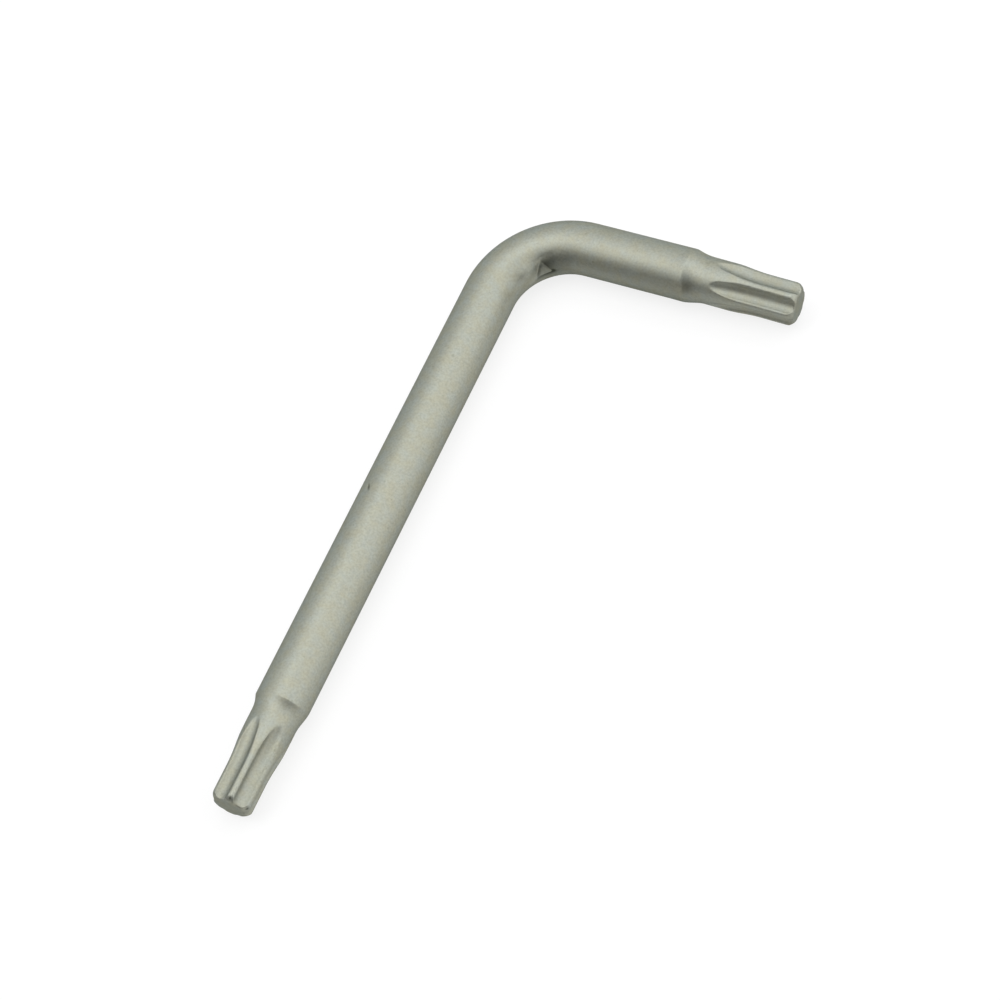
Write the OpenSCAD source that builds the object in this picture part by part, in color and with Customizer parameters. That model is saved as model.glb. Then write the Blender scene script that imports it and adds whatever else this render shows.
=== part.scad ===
// Star key: one round bar, bent to an L, with a six-lobe star formed on each end.
// It lies flat, +Z up: the long arm points along -Y and the short arm along +X.
// The origin is on the table, under the middle of the key's outline. Millimetres.

/* [Bar] */
// Diameter of the round bar
bar_d = 5.5; // [5:0.1:8]
// Length of the long arm, from the outside of the bend to its end
long_len = 71.3; // [50:0.1:120]
// Length of the short arm, from the outside of the bend to its end
short_len = 33.7; // [25:0.1:60]
// Radius of the bend, on the bar's centre line
bend_r = 8; // [5:0.5:14]

/* [Neck] */
// Length of each tip, from the last of the plain bar to its end
tip_len = 12; // [11.5:0.1:16]
// Length of plain bar ahead of the shoulder's edge
bar_stub = 0.6; // [0.1:0.1:1]
// Length of the shoulder, where the bar runs down to the neck
shoulder_len = 1.7; // [1.2:0.1:3]
// Diameter of the neck between the shoulder and the star
neck_d = 4.8; // [4.6:0.05:4.95]

/* [Star] */
// Diameter across the lobes
star_a = 4.43; // [4.1:0.01:4.7]
// Diameter across the flutes
star_b = 3.2; // [3:0.01:3.4]
// Radius of a lobe's sides
lobe_r = 0.37; // [0.3:0.01:0.45]
// Width of the land that is left along the crest of a lobe
crest_w = 0.3; // [0.1:0.02:0.5]
// Length of the star at full depth, from the end
flute_len = 3.5; // [2:0.1:6]
// Radius of the arc on which a flute runs out into the neck
runout_r = 18; // [8:0.5:22]
// Length over which the neck runs down to the lobes
taper_len = 3.6; // [1:0.1:5]
// Step all round where the run-outs meet the star, left by the forming die
die_step = 0.02; // [0.01:0.01:0.08]
// Chamfer round the end
end_chamfer = 0.5; // [0.1:0.05:0.55]

/* [Turn of the stars] */
// Angle of the long arm's lobe from straight up, towards the short arm
long_star_turn = 15; // [0:1:59]
// Angle of the short arm's lobe from straight up, towards the long arm
short_star_turn = 10; // [0:1:59]

/* [Hidden] */
$fn = 96;

steel = [0.36, 0.36, 0.31];
lobes = 6;
lobe_step = 360 / lobes;

bar_r = bar_d / 2;
neck_r = neck_d / 2;
star_r = star_a / 2;
root_r = star_b / 2;

// Both arms are set out from the corner where their centre lines would cross.
long_reach = long_len - bar_r;
short_reach = short_len - bar_r;
corner = [-(short_reach - bar_r) / 2, (long_reach - bar_r) / 2, bar_r];

// A lobe's side is an arc about lobe_centre, cut off at the crest by the star's outside.
lobe_c = star_r - sqrt(lobe_r * lobe_r - crest_w * crest_w / 4);
lobe_centre = lobe_c * [cos(lobe_step / 2), sin(lobe_step / 2)];

// An arc of touch_r would just touch the lobe arcs on both sides of a flute.
// The flute is a little wider, so that it meets them at a clear edge.
touch_r = (lobe_c * lobe_c + root_r * root_r - lobe_r * lobe_r - 2 * root_r * lobe_centre.x)
    / (2 * (lobe_centre.x + lobe_r - root_r));
flute_r = 1.03 * touch_r;
flute_centre = [root_r + flute_r, 0];

// The shoulder is a hollow arc that starts at the bar's edge and fades into the neck.
// It would run a little under the neck, so that the two meet at a clear edge.
hollow_dip = 0.02;
hollow_drop = bar_r - neck_r + hollow_dip;
hollow_r = (shoulder_len * shoulder_len + hollow_drop * hollow_drop) / (2 * hollow_drop);
neck_start = bar_stub + shoulder_len;

// The star begins at star_start, where the run-outs end, and is rooted root_len deep in the neck.
star_start = tip_len - flute_len;
taper_start = star_start - taper_len;
root_len = 1;

// The flute cutters stand this far out of the neck, and run this far past the ends of the star.
// A run-out's arc begins a little ahead of the neck's end.
cutter_margin = 0.3;
runout_angle = acos(1 - (neck_r + cutter_margin - root_r) / runout_r);
lead_angle = 1;

// Cross-section of one flute, between two lobes, opening towards +X.
// Its sides leave a lobe in the middle of what the crest cuts off.
// With shy set, it stays that far off the star's own outline.
module flute_section(shy = 0) {
    side_angle = lobe_step / 2 - asin(crest_w / 2 / lobe_r) / 2;
    outer = lobe_centre + neck_r * [cos(side_angle), sin(side_angle)];
    translate(flute_centre) circle(flute_r - shy);
    difference() {
        polygon([
            flute_centre, lobe_centre, outer,
            [outer.x, -outer.y], [lobe_centre.x, -lobe_centre.y]
        ]);
        for (side = [-1, 1]) translate([lobe_centre.x, side * lobe_centre.y]) circle(lobe_r + shy);
    }
}

// The six flutes of a tip, with a lobe on +X.
module each_flute() {
    for (i = [0:lobes - 1]) rotate((i + 0.5) * lobe_step) children();
}

// Where a flute leaves the star, along an arc that rises out of the neck.
module runout_cutter() {
    arc_axis = root_r + runout_r;
    translate([arc_axis, 0, star_start])
        rotate([90, 180, 0])
            rotate(-lead_angle)
                rotate_extrude(angle = lead_angle + runout_angle)
                    translate([arc_axis, 0]) mirror([1, 0]) flute_section(die_step);
}

// Shoulder, neck and taper, along +Z from the plain bar, with the run-outs cut in.
module neck() {
    difference() {
        union() {
            rotate_extrude() difference() {
                square([bar_r, neck_start]);
                translate([neck_r - hollow_dip + hollow_r, neck_start]) circle(hollow_r);
            }
            rotate_extrude() polygon([
                [0, bar_stub], [neck_r, bar_stub], [neck_r, taper_start],
                [star_r + die_step, star_start], [0, star_start]
            ]);
        }
        each_flute() runout_cutter();
    }
}

// The star at full depth, with its end chamfered.
module star() {
    difference() {
        rotate_extrude() polygon([
            [0, star_start - root_len], [star_r, star_start - root_len],
            [star_r, tip_len - end_chamfer], [star_r - end_chamfer, tip_len], [0, tip_len]
        ]);
        each_flute()
            translate([0, 0, star_start - root_len - cutter_margin])
                linear_extrude(flute_len + root_len + 2 * cutter_margin) flute_section();
    }
}

module star_tip() {
    neck();
    star();
}

module long_arm() {
    color(steel) translate(corner + [0, -bend_r, 0])
        rotate([90, 0, 0]) cylinder(h = long_reach - tip_len - bend_r, r = bar_r);
}

module bend() {
    color(steel) translate(corner + [bend_r, -bend_r, 0])
        rotate(90) rotate_extrude(angle = 90) translate([bend_r, 0]) circle(bar_r);
}

module short_arm() {
    color(steel) translate(corner + [bend_r, 0, 0])
        rotate([0, 90, 0]) cylinder(h = short_reach - tip_len - bend_r, r = bar_r);
}

module long_star_tip() {
    color(steel) translate(corner + [0, tip_len - long_reach, 0])
        rotate([90, 0, 0]) rotate(90 - long_star_turn) star_tip();
}

module short_star_tip() {
    color(steel) translate(corner + [short_reach - tip_len, 0, 0])
        rotate([0, 90, 0]) rotate(180 + short_star_turn) star_tip();
}

long_arm();
bend();
short_arm();
long_star_tip();
short_star_tip();
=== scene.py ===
"""Looks of the star key: a bent bar of satin nickel-plated steel with a six-lobe star on each end.

The five CAD nodes are sections of one bar, so each is dressed by a swept skin of its own, and
neighbouring skins share the ring of points where they meet. Lengths on the key are in millimetres,
and those of the floor, the lights and the camera in metres.
"""

import math

import bpy
import numpy as np
from mathutils import Matrix, Vector


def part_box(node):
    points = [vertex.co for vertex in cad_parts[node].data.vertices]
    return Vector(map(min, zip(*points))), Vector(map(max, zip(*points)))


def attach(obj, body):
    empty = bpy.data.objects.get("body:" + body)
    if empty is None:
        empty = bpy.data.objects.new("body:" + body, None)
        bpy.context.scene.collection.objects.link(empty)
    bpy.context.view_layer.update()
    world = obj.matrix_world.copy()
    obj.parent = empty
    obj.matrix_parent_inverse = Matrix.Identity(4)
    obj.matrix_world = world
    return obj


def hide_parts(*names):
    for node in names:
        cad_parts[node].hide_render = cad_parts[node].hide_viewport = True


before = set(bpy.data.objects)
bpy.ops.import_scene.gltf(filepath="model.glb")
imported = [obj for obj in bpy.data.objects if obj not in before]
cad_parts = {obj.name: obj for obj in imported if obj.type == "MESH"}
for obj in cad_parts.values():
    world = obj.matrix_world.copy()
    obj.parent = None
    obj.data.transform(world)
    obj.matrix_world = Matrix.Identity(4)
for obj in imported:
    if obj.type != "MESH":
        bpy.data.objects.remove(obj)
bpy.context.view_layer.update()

MM = 0.001
WHITE = (1, 1, 1)

# Sizes of a tip: its neck, taper, star, flutes and end.
NECK_R = 2.4
TAPER = 3.6
STAR_LEN = 3.5
STAR_R = 4.43 / 2
ROOT_R = 3.2 / 2
LOBE_R = 0.37
CREST_W = 0.3
FLUTE_OVER_TOUCH = 1.03
RUNOUT_R = 18.0
END_CHAMFER = 0.5
END_ROUND = 0.2
EDGE_SOFT = 0.022
CHAMFER_SOFT = 0.1
LOBES = 6
LOBE_STEP = math.tau / LOBES
# A run-out's arc is followed up to this share of its radius.
RUNOUT_REACH = 0.9

# Angles round the bar are measured from the outside of the bend, over the top of the bar.
# Turn of each star: the angle of one of its lobes.
LONG_LOBE_AT = math.radians(90 + 15)
SHORT_LOBE_AT = math.radians(90 + 10)

# Each shoulder: where it starts, its length, how sharply it drops off the bar, its edge's rounding,
# and how far the bar is upset just ahead of it, on one side.
LONG_SHOULDER = {"start": 0.75, "length": 1.7, "power": 2.6, "soft": 0.06, "upset": 0.0}
SHORT_SHOULDER = {"start": 0.3, "length": 2.1, "power": 2.2, "soft": 0.05, "upset": 0.16}
UPSET_LEN = 1.1
UPSET_AT = math.radians(140)
# A shoulder's curve is followed back to this many of its lengths from its foot.
SHOULDER_REACH = 1.5
# On the side inside the bend the shoulders have no edge, but run down smoothly.
SMOOTH_AT = math.radians(230)
SMOOTH_HALF = math.radians(85)
SMOOTH_FADE = math.radians(50)

# Mesh fineness: columns round the bar, and rings along it.
COLUMNS_PER_LOBE = 44
OUTLINE_SAMPLES = 4001
TIP_RING = 0.09
BEND_RINGS = 110
ARM_RING = 0.6
EDGE_RINGS = 13
EDGE_REACH = 0.2
CHAMFER_RINGS = 14
END_RINGS = 8
END_FACE_SHARES = (0.93, 0.8, 0.55, 0.3)


# The frame: every size and place of the bar comes from the CAD nodes' boxes.
def box_mm(node):
    low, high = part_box(node)
    return np.array(low) / MM, np.array(high) / MM


long_low, long_high = box_mm("long_arm")
short_low, short_high = box_mm("short_arm")
BAR_R = (long_high[2] - long_low[2]) / 2
AXIS_Z = (long_high[2] + long_low[2]) / 2
LONG_X = (long_high[0] + long_low[0]) / 2
SHORT_Y = (short_high[1] + short_low[1]) / 2
BEND_CENTRE = np.array([short_low[0], long_high[1], AXIS_Z])
BEND_R = BEND_CENTRE[0] - LONG_X
LONG_ARM_LEN = long_high[1] - long_low[1]
SHORT_ARM_LEN = short_high[0] - short_low[0]
TIP_LEN = long_low[1] - box_mm("long_star_tip")[0][1]
STAR_AT = TIP_LEN - STAR_LEN
TAPER_AT = STAR_AT - TAPER

# Where its two sides are equal, soft_min takes about this share of its rounding off.
SOFT_LOSS = 0.7


def soft_min(a, b, soft):
    """The smaller of a and b, with the corner between them rounded over about soft."""
    low = np.minimum(a, b)
    return low - soft * np.log1p(np.exp(-np.abs(a - b) / soft))


def smooth_step(t):
    t = np.clip(t, 0, 1)
    return t * t * (3 - 2 * t)


def fade_in(x, start, over):
    """Rises from 0 at start to 1 when x is past it by over."""
    return smooth_step((x - start) / over)


def fade_out(x, end, over):
    """Falls from 1 to 0 at end, beginning when x is short of it by over."""
    return smooth_step((end - x) / over)


def round_spot(x, y, size):
    """1 in the middle of a round spot, falling off about size away from it."""
    return np.exp(-(x**2 + y**2) / size**2)


def oval_spot(x, y, length, width):
    """1 in the middle of an oval spot, falling off about length and width away from it."""
    return np.exp(-((x / length) ** 2) - (y / width) ** 2)


def arc_from(theta, at, radius):
    """Distance round a circle from the angle at to theta, the shorter way."""
    return radius * ((theta - at + math.pi) % math.tau - math.pi)


def bar_radius(z, theta, shoulder):
    """Radius of the bar near a shoulder, z from where the tip begins and theta round it."""
    side = np.clip(np.cos(theta - UPSET_AT), 0, 1) ** 2
    return BAR_R + shoulder["upset"] * side * np.exp(-(((z - shoulder["start"]) / UPSET_LEN) ** 2))


def blank_radius(z, theta, shoulder):
    """Radius of a tip's round outside, z along the tip: shoulder, neck, taper and star."""
    start, length, soft = shoulder["start"], shoulder["length"], shoulder["soft"]
    bar = bar_radius(z, theta, shoulder)
    edge = bar_radius(start, theta, shoulder)
    left = np.clip(1 - (z - start) / length, 0, SHOULDER_REACH)
    drop = NECK_R + (edge - NECK_R) * left ** shoulder["power"]
    r = soft_min(bar + SOFT_LOSS * soft, drop, soft)
    r = np.where(z <= 0, bar, np.minimum(r, bar))
    smooth = bar - (bar - NECK_R) * fade_in(z, 0, start + length)
    r = r + (smooth - r) * fade_out(np.abs(theta % math.tau - SMOOTH_AT), SMOOTH_HALF, SMOOTH_FADE)
    r = r - (NECK_R - STAR_R) * fade_in(z, TAPER_AT, TAPER)
    return soft_min(r, STAR_R + TIP_LEN - END_CHAMFER - z, CHAMFER_SOFT)


def end_round(z):
    """How far the rounding of the end's edge takes the outline in."""
    into = np.clip((z - (TIP_LEN - END_ROUND)) / END_ROUND, 0, 1)
    return END_ROUND * (1 - np.sqrt(1 - into**2))


# Arcs of the star's outline: a lobe's is about LOBE_X, LOBE_Y, seen from the middle of a flute.
# A flute of TOUCH_R would just touch the lobes on both sides of it.
LOBE_C = STAR_R - math.sqrt(LOBE_R**2 - CREST_W**2 / 4)
LOBE_X = LOBE_C * math.cos(LOBE_STEP / 2)
LOBE_Y = LOBE_C * math.sin(LOBE_STEP / 2)
TOUCH_R = (LOBE_C**2 + ROOT_R**2 - LOBE_R**2 - 2 * ROOT_R * LOBE_X) / (
    2 * (LOBE_X + LOBE_R - ROOT_R)
)
FLUTE_R = FLUTE_OVER_TOUCH * TOUCH_R
# Stands for the flute's radius where it doesn't reach, so that the round outside holds instead.
FAR = 10.0


def flute_radius(angle, lift):
    """Radius of the star's outline at an angle from the middle of a flute lifted out by lift."""
    angle = np.abs(angle)
    c, s = np.cos(angle), np.sin(angle)
    centre = ROOT_R + FLUTE_R + lift
    room = FLUTE_R**2 - (centre * s) ** 2
    floor = np.where(room > 0, centre * c - np.sqrt(np.maximum(room, 0)), FAR)
    lobe_x = LOBE_X + lift
    along, across = lobe_x * c + LOBE_Y * s, LOBE_Y * c - lobe_x * s
    room = LOBE_R**2 - across**2
    side = along + np.sqrt(np.maximum(room, 0))
    # A lobe's side counts only on the open side of the line between the arcs' centres.
    open_side = (side * s) * (lobe_x - centre) - (side * c - centre) * LOBE_Y < 0
    lobe = np.where((room > 0) & open_side, side, FAR)
    return np.minimum(floor, lobe)


def tip_radius(z, theta, lobe_at, shoulder):
    """Radius of a star tip at z along it and at angle theta round it."""
    nearest = (theta - lobe_at + LOBE_STEP / 2) % LOBE_STEP
    angle = np.where(nearest > LOBE_STEP / 2, nearest - LOBE_STEP, nearest)
    rise = np.clip((STAR_AT - z) / RUNOUT_R, 0, RUNOUT_REACH)
    flute = flute_radius(angle, RUNOUT_R * (1 - np.sqrt(1 - rise**2)))
    return soft_min(blank_radius(z, theta, shoulder), flute, EDGE_SOFT) - end_round(z)


def star_columns(lobe_at):
    """Angles round the bar at equal steps along the star's outline, to cover its steep sides."""
    fine = np.linspace(-LOBE_STEP / 2, LOBE_STEP / 2, OUTLINE_SAMPLES)
    r = soft_min(np.full_like(fine, STAR_R), flute_radius(fine, 0), EDGE_SOFT)
    x, y = r * np.cos(fine), r * np.sin(fine)
    run = np.concatenate([[0], np.cumsum(np.hypot(np.diff(x), np.diff(y)))])
    steps = np.linspace(0, run[-1], COLUMNS_PER_LOBE, endpoint=False)
    one = np.interp(steps, run, fine)
    return np.concatenate([lobe_at + (k + 0.5) * LOBE_STEP + one for k in range(LOBES)])


LONG_COLUMNS = star_columns(LONG_LOBE_AT)
SHORT_COLUMNS = star_columns(SHORT_LOBE_AT)

# Soil and shade is how much the skin is darkened, from 0 to 1, by marks and by painted shade.
# Painted shade darkens the steep sides of the flutes: by how much, and the slope at which that
# begins with the further slope that makes it full.
WALL_SHADE = 0.08
WALL_SLOPE = (0.2, 0.8)
SLOPE_STEP = 0.01


def painted_wall_shade(z, theta, lobe_at, shoulder):
    """Painted shade on a star tip, z along it and theta round it: more where a flute's side is
    steep.
    """
    ahead, behind = (
        tip_radius(z, theta + step, lobe_at, shoulder) for step in (SLOPE_STEP, -SLOPE_STEP)
    )
    slope = np.abs(ahead - behind) / (ahead + behind) / SLOPE_STEP
    return WALL_SHADE * fade_in(slope, *WALL_SLOPE)


# The bend's inside is creased from bending, a flake of metal is folded over beside the crease, and
# metal is squeezed up on the crease's other side. Places on the skin are millimetres along the
# bend's inside from the short arm, and up round the bar. A fade is where it starts or ends, and
# over how much; those of the crease's ends are shares of its length.
CREASE_TOP = (3.75, 1.9)
CREASE_FOOT = (4.75, -0.4)
CREASE_DEPTH = 0.5
CREASE_LEFT = 1.8
CREASE_RIGHT = 1.5
CREASE_POWER = 1.6
CREASE_ROUND = 0.03
CREASE_TOP_FADE = (-0.2, 0.6)
CREASE_TOP_SLANT = 0.3
CREASE_FOOT_FADE = (1.3, 0.8)
SWELL_AT = (5.5, 1.25)
SWELL_SIZE = (1.35, 0.9)
SWELL_RISE = 0.3
SWELL_FADE = 1.8
FLAKE = ((3.8, 1.7), (2.95, 0.1), (4.72, -0.45))
FLAKE_RISE = 0.12
FLAKE_EDGE = 0.15
# How much the flake's own colour is darkened.
FLAKE_DARKENING = 0.04
# The flake's rise is multiplied by this to say how much it hides the painted shade beside the
# crease.
FLAKE_COVER = 4
# The shade under each of the flake's free edges: its strength and its width.
FLAKE_SHADES = ((0.12, 0.4), (0.45, 0.3))
SHADE_FADE = (-0.05, 0.1)
# Painted shade beside the crease, on the short arm's side of it: its strength, its width and its
# fades.
CREASE_SHADE = 0.74
CREASE_SHADE_WIDTH = 2.5
CREASE_SHADE_EDGE_FADE = (-0.05, 0.25)
CREASE_SHADE_END_FADE = (0, 1.5)
CREASE_SHADE_LOW_FADE = (-1.0, 1.2)
CREASE_SHADE_HIGH_FADE = (2.3, 0.8)
# The pit: its place, size and depth, and how much its colour is darkened.
PIT_AT = (2.9, 0.1)
PIT_SIZE = 0.2
PIT_DEPTH = 0.1
PIT_DARKENING = 0.6

# Painted shade: the side of the short arm that faces the inside of the bend is darkened.
INSIDE_SHADE = 0.22
INSIDE_SHADE_LOW_FADE = (-4, 2)
INSIDE_SHADE_HIGH_FADE = (1.8, 0.9)
INSIDE_SHADE_TURN_FADE = (1.0, 0.4)


def inside_place(turn, theta):
    """Where a point of the bend lies on its skin, seen from the inside of the bend."""
    return turn * (BEND_R - BAR_R), BAR_R * (math.pi - theta % math.tau)


def along_and_off(u, v, start, end):
    """A point's place along the line from start to end, as a share, and its distance off the line.

    From the crease, the distance is positive on the short arm's side.
    """
    run = (end[0] - start[0], end[1] - start[1])
    length = math.hypot(*run)
    along = ((u - start[0]) * run[0] + (v - start[1]) * run[1]) / length**2
    off = ((u - start[0]) * run[1] - (v - start[1]) * run[0]) / length
    return along, off


def crease_cut(u, v):
    """How deep the crease cuts in, as a share of its depth."""
    along, off = along_and_off(u, v, CREASE_TOP, CREASE_FOOT)
    top = fade_in(along + CREASE_TOP_SLANT * off, *CREASE_TOP_FADE)
    half = np.where(off < 0, CREASE_LEFT, CREASE_RIGHT)
    deep = np.clip(1 - np.hypot(off, CREASE_ROUND) / half, 0, 1) ** CREASE_POWER
    return top * fade_out(along, *CREASE_FOOT_FADE) * deep


def swell(u, v):
    """How far a point is up the swelling beside the crease, from 0 to 1."""
    _, off = along_and_off(u, v, CREASE_TOP, CREASE_FOOT)
    shape = oval_spot(u - SWELL_AT[0], v - SWELL_AT[1], *SWELL_SIZE)
    return shape * smooth_step(0.5 - off / SWELL_FADE)


def flake_share(u, v):
    """How far a point is up the flake: 0 at its root and outside it, 1 at its free corner."""
    inside = 1.0
    for start, end in zip(FLAKE, FLAKE[1:] + FLAKE[:1]):
        inside = inside * smooth_step(-along_and_off(u, v, start, end)[1] / FLAKE_EDGE)
    root = FLAKE[2], FLAKE[0]
    off, corner_off = along_and_off(u, v, *root)[1], along_and_off(*FLAKE[1], *root)[1]
    return inside * np.clip(off / corner_off, 0, 1)


def flake_shade(u, v):
    """The painted shadow under the flake's two free edges."""
    dark = 0.0
    for start, end, (strength, width) in zip(FLAKE, FLAKE[1:], FLAKE_SHADES):
        along, off = along_and_off(u, v, start, end)
        past = np.maximum(np.abs(along - 0.5) - 0.5, 0) * math.dist(start, end)
        outside = fade_in(off, *SHADE_FADE)
        dark = np.maximum(dark, strength * outside * np.exp(-np.hypot(off, past) / width))
    return dark


def pit(u, v):
    """How much a point is in the pit, from 0 to 1."""
    return round_spot(u - PIT_AT[0], v - PIT_AT[1], PIT_SIZE)


def bend_radius(turn, theta):
    """Radius of the bar in the bend, turn being the angle along it from the short arm."""
    u, v = inside_place(turn, theta)
    up = FLAKE_RISE * flake_share(u, v) + SWELL_RISE * swell(u, v)
    return BAR_R + up - CREASE_DEPTH * crease_cut(u, v) - PIT_DEPTH * pit(u, v)


def painted_inside_shade(theta):
    """Painted shade on the side of the short arm that faces the inside of the bend."""
    v = inside_place(0, theta)[1]
    return INSIDE_SHADE * fade_out(v, *INSIDE_SHADE_HIGH_FADE) * fade_in(v, *INSIDE_SHADE_LOW_FADE)


def bend_shade_and_marks(turn, theta):
    """Darkening of the bend: painted shade inside it and beside the crease, painted shadow under
    the flake's edges, and the flake and the pit darkened.
    """
    u, v = inside_place(turn, theta)
    inside_shade = painted_inside_shade(theta) * fade_out(turn, *INSIDE_SHADE_TURN_FADE)
    _, off = along_and_off(u, v, CREASE_TOP, CREASE_FOOT)
    beside = fade_in(off, *CREASE_SHADE_EDGE_FADE) * np.exp(-np.abs(off) / CREASE_SHADE_WIDTH)
    beside = beside * fade_in(u, *CREASE_SHADE_END_FADE)
    ends = fade_in(v, *CREASE_SHADE_LOW_FADE) * fade_out(v, *CREASE_SHADE_HIGH_FADE)
    flake = np.clip(FLAKE_COVER * flake_share(u, v), 0, 1)
    crease_and_flake = CREASE_SHADE * beside * ends * (1 - flake) + FLAKE_DARKENING * flake
    return np.clip(inside_shade + crease_and_flake + flake_shade(u, v) + PIT_DARKENING * pit(u, v), 0, 1)


# A nick on the long arm: distance from the bend, angle round the bar, slant, and its size.
NICK_AT = 25.56
NICK_ANGLE = math.radians(65.7)
NICK_SLANT = 0.5
NICK_LEN = 0.32
NICK_W = 0.1
NICK_DEPTH = 0.09
# Extra rings across the nick, out to this many of its lengths on both sides.
NICK_RINGS = 40
NICK_REACH = 2


def nick(along, theta):
    """How much a point of the long arm is in the nick, from 0 to 1. It also darkens the colour in
    the nick.
    """
    run = along - NICK_AT
    off = arc_from(theta, NICK_ANGLE, BAR_R)
    return oval_spot(run, off - NICK_SLANT * run, NICK_LEN, NICK_W)


# Painted shadows, as cast by small burrs, in spots near the ends of two lobes of the long arm's
# star, this far back from its end.
SPOT_LOBES = (0, 1)
SPOT_BACK = 0.3
SPOT_SIZE = 0.125
SPOT_SHADOW = 0.9


def long_tip_painted_shade(z, theta):
    """Painted shade on the long arm's tip, z along it: on the flutes' sides, and painted shadows in
    the spots.
    """
    soil_and_shade = painted_wall_shade(z, theta, LONG_LOBE_AT, LONG_SHOULDER)
    for lobe in SPOT_LOBES:
        off = arc_from(theta - LONG_LOBE_AT, lobe * LOBE_STEP, STAR_R)
        soil_and_shade = soil_and_shade + SPOT_SHADOW * round_spot(off, z - TIP_LEN + SPOT_BACK, SPOT_SIZE)
    return np.clip(soil_and_shade, 0, 1)


# A dark mark on the short arm's shoulder, just past its edge: partly a stain, partly painted shade.
MARK_AT = 0.8
MARK_ANGLE = math.radians(147)
MARK_LEN = 0.75
MARK_WIDE = 0.75
MARK_STAIN_AND_SHADE = 0.44
MARK_FADE = 0.3


def shoulder_mark(z, theta):
    """Partly stain, partly painted shade in the mark on the short arm's shoulder; it stops at the
    edge.
    """
    shape = oval_spot(z - MARK_AT, arc_from(theta, MARK_ANGLE, BAR_R), MARK_LEN, MARK_WIDE)
    return MARK_STAIN_AND_SHADE * shape * fade_in(z, SHORT_SHOULDER["start"], MARK_FADE)


def short_tip_stain_and_shade(z, theta):
    """Darkening of the short arm's tip, z along it: painted shade on the flutes' sides and on the
    side facing the inside of the bend, and the mark.
    """
    fade = 1 - fade_in(z, 0, TAPER_AT)
    soil_and_shade = painted_wall_shade(z, theta, SHORT_LOBE_AT, SHORT_SHOULDER) + fade * painted_inside_shade(theta)
    return np.clip(soil_and_shade + shoulder_mark(z, theta), 0, 1)


# Skins: each is a grid of rings along its node. The arms' and tips' rings go outwards from the
# bend, and the bend's go from the long arm to the short one.
def ring_points(centre, outward, theta, radius):
    """Points of one ring: outward is the direction of angle 0, and +Z that of a quarter turn."""
    up = np.array([0, 0, 1.0])
    across = np.outer(np.cos(theta) * radius, outward) + np.outer(np.sin(theta) * radius, up)
    return centre + across


def make_skin(node, rings, soil_and_shade, end_face=False):
    """A closed mesh through the rings, with darkening at their points from marks and painted shade,
    that stands for one CAD node.
    """
    name = f"{node}_skin"
    columns = len(rings[0])
    last = rings[-1]
    middle = last.mean(0)
    shares = END_FACE_SHARES if end_face else ()
    grid = [*rings, *(middle + (last - middle) * share for share in shares)]
    points = np.concatenate([*grid, [rings[0].mean(0), middle]])
    first_hub, last_hub = len(points) - 2, len(points) - 1
    pairs = [(j, (j + 1) % columns) for j in range(columns)]
    faces = []
    for i in range(len(grid) - 1):
        here, there = i * columns, (i + 1) * columns
        faces.extend((here + j, here + k, there + k, there + j) for j, k in pairs)
    last_base = (len(grid) - 1) * columns
    for j, k in pairs:
        faces.append((first_hub, k, j))
        faces.append((last_hub, last_base + j, last_base + k))
    mesh = bpy.data.meshes.new(name)
    mesh.from_pydata([tuple(p * MM) for p in points], [], faces)
    mesh.update()
    mesh.shade_smooth()
    # The first and the last ring are edges of the closed mesh.
    ends = np.zeros((len(mesh.edges), 2), np.int32)
    mesh.edges.foreach_get("vertices", ends.ravel())
    ring_of = ends // columns
    in_one_ring = (ring_of[:, 0] == ring_of[:, 1]) & (ends.max(1) < first_hub)
    is_sharp = in_one_ring & np.isin(ring_of[:, 0], [0, len(rings) - 1])
    mesh.edges.foreach_set("use_edge_sharp", is_sharp)
    dark = np.zeros(len(points), np.float32)
    dark[: len(rings) * columns] = np.concatenate(soil_and_shade)
    mesh.attributes.new("soil_and_shade", "FLOAT", "POINT").data.foreach_set("value", dark)
    obj = bpy.data.objects.new(name, mesh)
    bpy.context.scene.collection.objects.link(obj)
    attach(obj, "root")
    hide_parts(node)
    return obj


def tip_stations(shoulder):
    """Places of a tip's rings along it, closer on the shoulder's edge and towards the end."""
    straight = TIP_LEN - END_ROUND
    plain = np.linspace(0, straight, round(straight / TIP_RING))
    edge = shoulder["start"] + np.linspace(-EDGE_REACH, EDGE_REACH, EDGE_RINGS)
    over_chamfer = np.linspace(-EDGE_REACH, END_CHAMFER - END_ROUND, CHAMFER_RINGS)
    chamfer = TIP_LEN - END_CHAMFER + over_chamfer
    end = straight + END_ROUND * np.sin(np.linspace(0, 1, END_RINGS + 1)[1:] * math.pi / 2)
    return np.unique(np.concatenate([plain, edge, chamfer, end]))


OUT_LONG = np.array([-1.0, 0, 0])
OUT_SHORT = np.array([0, 1.0, 0])

# The short arm's star leans a little towards the inside of the bend, from the shoulder on.
SHORT_LEAN = math.radians(1.45)
# Its end is cut a little out of square, longer on the side that faces up and to the inside.
END_SKEW = 0.09
END_SKEW_TO = math.radians(114)


def long_ring(along, radius):
    """A ring of the long arm or its tip, along being the distance from the bend."""
    centre = np.array([LONG_X, BEND_CENTRE[1] - along, AXIS_Z])
    return ring_points(centre, OUT_LONG, LONG_COLUMNS, radius)


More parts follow.
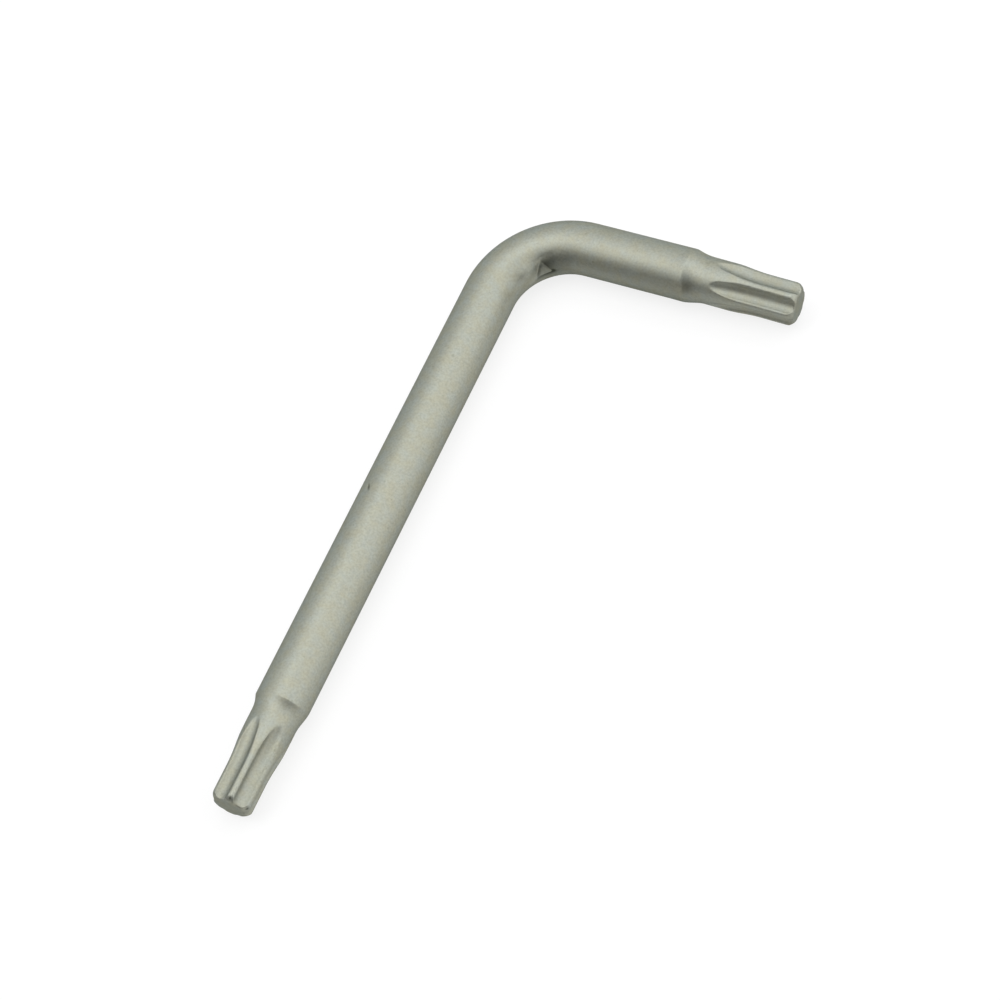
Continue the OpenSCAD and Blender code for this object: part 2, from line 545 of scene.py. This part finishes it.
def short_ring(along, radius):
    """A ring of the short arm or its tip, along being the distance from the bend."""
    past = max(0, along - SHORT_ARM_LEN - SHORT_SHOULDER["start"])
    lean = math.tan(SHORT_LEAN) * past**2 / (past + SHORT_SHOULDER["length"])
    centre = np.array([BEND_CENTRE[0] + along, SHORT_Y - lean, AXIS_Z])
    points = ring_points(centre, OUT_SHORT, SHORT_COLUMNS, radius)
    skew = END_SKEW * fade_in(along - SHORT_ARM_LEN, STAR_AT, STAR_LEN)
    points[:, 0] += skew * (ROOT_R + radius * np.cos(SHORT_COLUMNS - END_SKEW_TO))
    return points


def bend_columns(turn):
    """The bend's columns, which turn from those of the short arm to those of the long arm."""
    return SHORT_COLUMNS + (LONG_COLUMNS - SHORT_COLUMNS) * turn / (math.pi / 2)


def bend_ring(turn):
    """A ring of the bend, turn being the angle along it from the short arm."""
    outward = np.array([-math.sin(turn), math.cos(turn), 0])
    theta = bend_columns(turn)
    return ring_points(BEND_CENTRE + BEND_R * outward, outward, theta, bend_radius(turn, theta))


def long_arm_ring(along):
    return long_ring(along, BAR_R - NICK_DEPTH * nick(along, LONG_COLUMNS))


def short_arm_ring(along):
    return short_ring(along, bar_radius(along - SHORT_ARM_LEN, SHORT_COLUMNS, SHORT_SHOULDER))


def long_tip_ring(z):
    radius = tip_radius(z, LONG_COLUMNS, LONG_LOBE_AT, LONG_SHOULDER)
    return long_ring(LONG_ARM_LEN + z, radius)


def short_tip_ring(z):
    radius = tip_radius(z, SHORT_COLUMNS, SHORT_LOBE_AT, SHORT_SHOULDER)
    return short_ring(SHORT_ARM_LEN + z, radius)


plain_places = np.linspace(0, LONG_ARM_LEN, round(LONG_ARM_LEN / ARM_RING))
nick_places = NICK_AT + np.linspace(-NICK_REACH, NICK_REACH, NICK_RINGS) * NICK_LEN
long_places = np.unique(np.concatenate([plain_places, nick_places]))
bend_places = np.linspace(math.pi / 2, 0, BEND_RINGS)
short_places = np.linspace(0, SHORT_ARM_LEN, round(SHORT_ARM_LEN / ARM_RING))
long_tip_places = tip_stations(LONG_SHOULDER)
short_tip_places = tip_stations(SHORT_SHOULDER)
skins = [
    make_skin(
        "long_arm",
        [long_arm_ring(a) for a in long_places],
        [nick(a, LONG_COLUMNS) for a in long_places],
    ),
    make_skin(
        "bend",
        [bend_ring(t) for t in bend_places],
        [bend_shade_and_marks(t, bend_columns(t)) for t in bend_places],
    ),
    make_skin(
        "short_arm",
        [short_arm_ring(a) for a in short_places],
        [painted_inside_shade(SHORT_COLUMNS)] * len(short_places),
    ),
    make_skin(
        "long_star_tip",
        [long_tip_ring(z) for z in long_tip_places],
        [long_tip_painted_shade(z, LONG_COLUMNS) for z in long_tip_places],
        end_face=True,
    ),
    make_skin(
        "short_star_tip",
        [short_tip_ring(z) for z in short_tip_places],
        [short_tip_stain_and_shade(z, SHORT_COLUMNS) for z in short_tip_places],
        end_face=True,
    ),
]

# Satin nickel: a fine matt grain, faint mottling, a few dark specks, and darkening from marks and
# painted shade.
# A noise is its number of features to the millimetre and its detail, and a ramp is a low place
# with its colour and a high place with its colour.
GRAIN = (4.5, 3)
GRAIN_RAMP = (0.3, (0.78, 0.78, 0.78), 0.7, WHITE)
ROUGHNESS_RAMP = (0.3, (0.53, 0.53, 0.53), 0.7, (0.6, 0.6, 0.6))
MOTTLE = (0.9, 5)
MOTTLE_RAMP = (0.35, (0.401, 0.400, 0.321), 0.65, (0.392, 0.410, 0.360))
SPECKS = (2.2, 1)
SPECK_RAMP = (0.2, (0.84, 0.84, 0.82), 0.3, WHITE)
SOIL_AND_SHADE_RAMP = (0.0, WHITE, 1.0, (0.18, 0.19, 0.17))
BUMP_STRENGTH = 0.3
BUMP_HEIGHT = 0.02
# Darkens the metal where it is seen at a grazing angle.
GRAZING_TINT = (0.18, 0.20, 0.22)


def satin_nickel():
    material = bpy.data.materials.new("satin_nickel")
    material.use_nodes = True
    nodes, links = material.node_tree.nodes, material.node_tree.links
    shader = nodes["Principled BSDF"]
    shader.inputs["Metallic"].default_value = 1.0
    shader.inputs["Specular Tint"].default_value = (*GRAZING_TINT, 1)
    place = nodes.new("ShaderNodeTexCoord")

    def noise(per_mm, detail):
        n = nodes.new("ShaderNodeTexNoise")
        n.inputs["Scale"].default_value = per_mm / MM
        n.inputs["Detail"].default_value = detail
        links.new(place.outputs["Object"], n.inputs["Vector"])
        return n.outputs["Fac"]

    def ramp(source, low, low_colour, high, high_colour):
        r = nodes.new("ShaderNodeValToRGB")
        first, second = r.color_ramp.elements
        first.position, first.color = low, (*low_colour, 1)
        second.position, second.color = high, (*high_colour, 1)
        links.new(source, r.inputs["Fac"])
        return r.outputs["Color"]

    def darken(colour, by):
        mix = nodes.new("ShaderNodeMix")
        mix.data_type = "RGBA"
        mix.blend_type = "MULTIPLY"
        mix.inputs["Factor"].default_value = 1.0
        links.new(colour, mix.inputs["A"])
        links.new(by, mix.inputs["B"])
        return mix.outputs["Result"]

    grain = noise(*GRAIN)
    colour = ramp(noise(*MOTTLE), *MOTTLE_RAMP)
    colour = darken(colour, ramp(grain, *GRAIN_RAMP))
    colour = darken(colour, ramp(noise(*SPECKS), *SPECK_RAMP))
    # The skins' darkening, from marks and from painted shade, multiplies the colour.
    soil_and_shade = nodes.new("ShaderNodeAttribute")
    soil_and_shade.attribute_name = "soil_and_shade"
    colour = darken(colour, ramp(soil_and_shade.outputs["Fac"], *SOIL_AND_SHADE_RAMP))
    links.new(colour, shader.inputs["Base Color"])
    links.new(ramp(grain, *ROUGHNESS_RAMP), shader.inputs["Roughness"])
    bump = nodes.new("ShaderNodeBump")
    bump.inputs["Strength"].default_value = BUMP_STRENGTH
    bump.inputs["Distance"].default_value = BUMP_HEIGHT * MM
    links.new(grain, bump.inputs["Height"])
    links.new(bump.outputs["Normal"], shader.inputs["Normal"])
    return material


nickel = satin_nickel()
for skin in skins:
    skin.data.materials.append(nickel)


# Stage: a plain white floor. The camera and reflections see part of its white directly, so that
# its shadow stays faint.
FLOOR_HALF = 3.0
FLOOR_WHITE = 0.93
FLOOR_SHINE = 0.8


def pale_floor():
    mesh = bpy.data.meshes.new("floor")
    signs = ((-1, -1), (1, -1), (1, 1), (-1, 1))
    mesh.from_pydata([(x * FLOOR_HALF, y * FLOOR_HALF, 0) for x, y in signs], [], [(0, 1, 2, 3)])
    obj = bpy.data.objects.new("floor", mesh)
    bpy.context.scene.collection.objects.link(obj)
    material = bpy.data.materials.new("pale_floor")
    material.use_nodes = True
    nodes, links = material.node_tree.nodes, material.node_tree.links
    nodes.remove(nodes["Principled BSDF"])
    matt = nodes.new("ShaderNodeBsdfDiffuse")
    matt.inputs["Color"].default_value = (FLOOR_WHITE, FLOOR_WHITE, FLOOR_WHITE, 1)
    shine = nodes.new("ShaderNodeEmission")
    rays = nodes.new("ShaderNodeLightPath")
    seen = rays.outputs["Is Camera Ray"]
    for kind in ("Is Glossy Ray", "Is Transmission Ray"):
        either = nodes.new("ShaderNodeMath")
        either.operation = "MAXIMUM"
        links.new(seen, either.inputs[0])
        links.new(rays.outputs[kind], either.inputs[1])
        seen = either.outputs["Value"]
    share = nodes.new("ShaderNodeMath")
    share.operation = "MULTIPLY"
    share.inputs[1].default_value = FLOOR_SHINE
    links.new(seen, share.inputs[0])
    mix = nodes.new("ShaderNodeMixShader")
    links.new(share.outputs["Value"], mix.inputs["Fac"])
    links.new(matt.outputs["BSDF"], mix.inputs[1])
    links.new(shine.outputs["Emission"], mix.inputs[2])
    links.new(mix.outputs["Shader"], nodes["Material Output"].inputs["Surface"])
    mesh.materials.append(material)


pale_floor()


# Light: directions are azimuth and elevation as seen from the key, in degrees. Azimuth 0 is the
# front (-Y) and 90 the right (+X).
def direction(azimuth, elevation):
    a, e = math.radians(azimuth), math.radians(elevation)
    return Vector((math.sin(a) * math.cos(e), -math.cos(a) * math.cos(e), math.sin(e)))


def softbox(name, azimuth, elevation, width, height, power, colour):
    """A soft panel of light a metre from the key."""
    lamp = bpy.data.lights.new(name, "AREA")
    lamp.shape = "RECTANGLE"
    lamp.size, lamp.size_y = width, height
    lamp.energy = power
    lamp.color = colour
    obj = bpy.data.objects.new(name, lamp)
    back = direction(azimuth, elevation)
    obj.location = back
    obj.rotation_mode = "QUATERNION"
    obj.rotation_quaternion = (-back).to_track_quat("-Z", "Y")
    bpy.context.scene.collection.objects.link(obj)


# A tent of soft panels, weakest at the front, with most of its light from the right and from above.
# Each has a name, azimuth, elevation, width, height, power and colour.
COOL = (0.92, 1.0, 1.08)
SOFTBOXES = (
    ("right_low", 112, 15, 1.5, 0.5, 4.1, WHITE),
    ("right_high", 118, 45, 1.1, 0.6, 3.9, WHITE),
    ("top", 0, 90, 0.7, 0.7, 4.4, WHITE),
    ("back", 175, 50, 0.7, 0.6, 1.5, WHITE),
    ("back_low", 180, 15, 1.3, 0.5, 1.9, COOL),
    ("back_left", 222, 50, 0.9, 0.6, 1.5, WHITE),
    ("left_high", 300, 50, 0.9, 0.6, 3.6, WHITE),
    ("front_high", 345, 65, 0.6, 0.5, 0.6, WHITE),
    ("left_low", 250, 15, 1.5, 0.5, 2.1, COOL),
)
for box in SOFTBOXES:
    softbox(*box)

WORLD_STRENGTH = 0.04
world = bpy.data.worlds.new("studio")
bpy.context.scene.world = world
world.use_nodes = True
background = world.node_tree.nodes["Background"]
background.inputs["Color"].default_value = (*WHITE, 1)
background.inputs["Strength"].default_value = WORLD_STRENGTH

# Camera: fitted to the key's outline in the photo. Angles are in degrees; the lens and the sensor
# are in millimetres.
AIM = Vector((-0.002941, 0.003069, 0.002785))
VIEW_AZIMUTH = 44.74
VIEW_ELEVATION = 57.41
VIEW_ROLL = -23.49
VIEW_DISTANCE = 0.3146
LENS = 115.31
SENSOR = 36
CLIP = (0.01, 20)


def photo_camera():
    data = bpy.data.cameras.new("photo_camera")
    data.sensor_width = SENSOR
    data.lens = LENS
    data.clip_start, data.clip_end = CLIP
    obj = bpy.data.objects.new("photo_camera", data)
    back = direction(VIEW_AZIMUTH, VIEW_ELEVATION)
    upright = (-back).to_track_quat("-Z", "Y").to_matrix().to_4x4()
    roll = Matrix.Rotation(math.radians(VIEW_ROLL), 4, "Z")
    obj.matrix_world = Matrix.Translation(AIM + back * VIEW_DISTANCE) @ upright @ roll
    bpy.context.scene.collection.objects.link(obj)
    bpy.context.scene.camera = obj


photo_camera()

bpy.context.scene.view_settings.view_transform = "Standard"
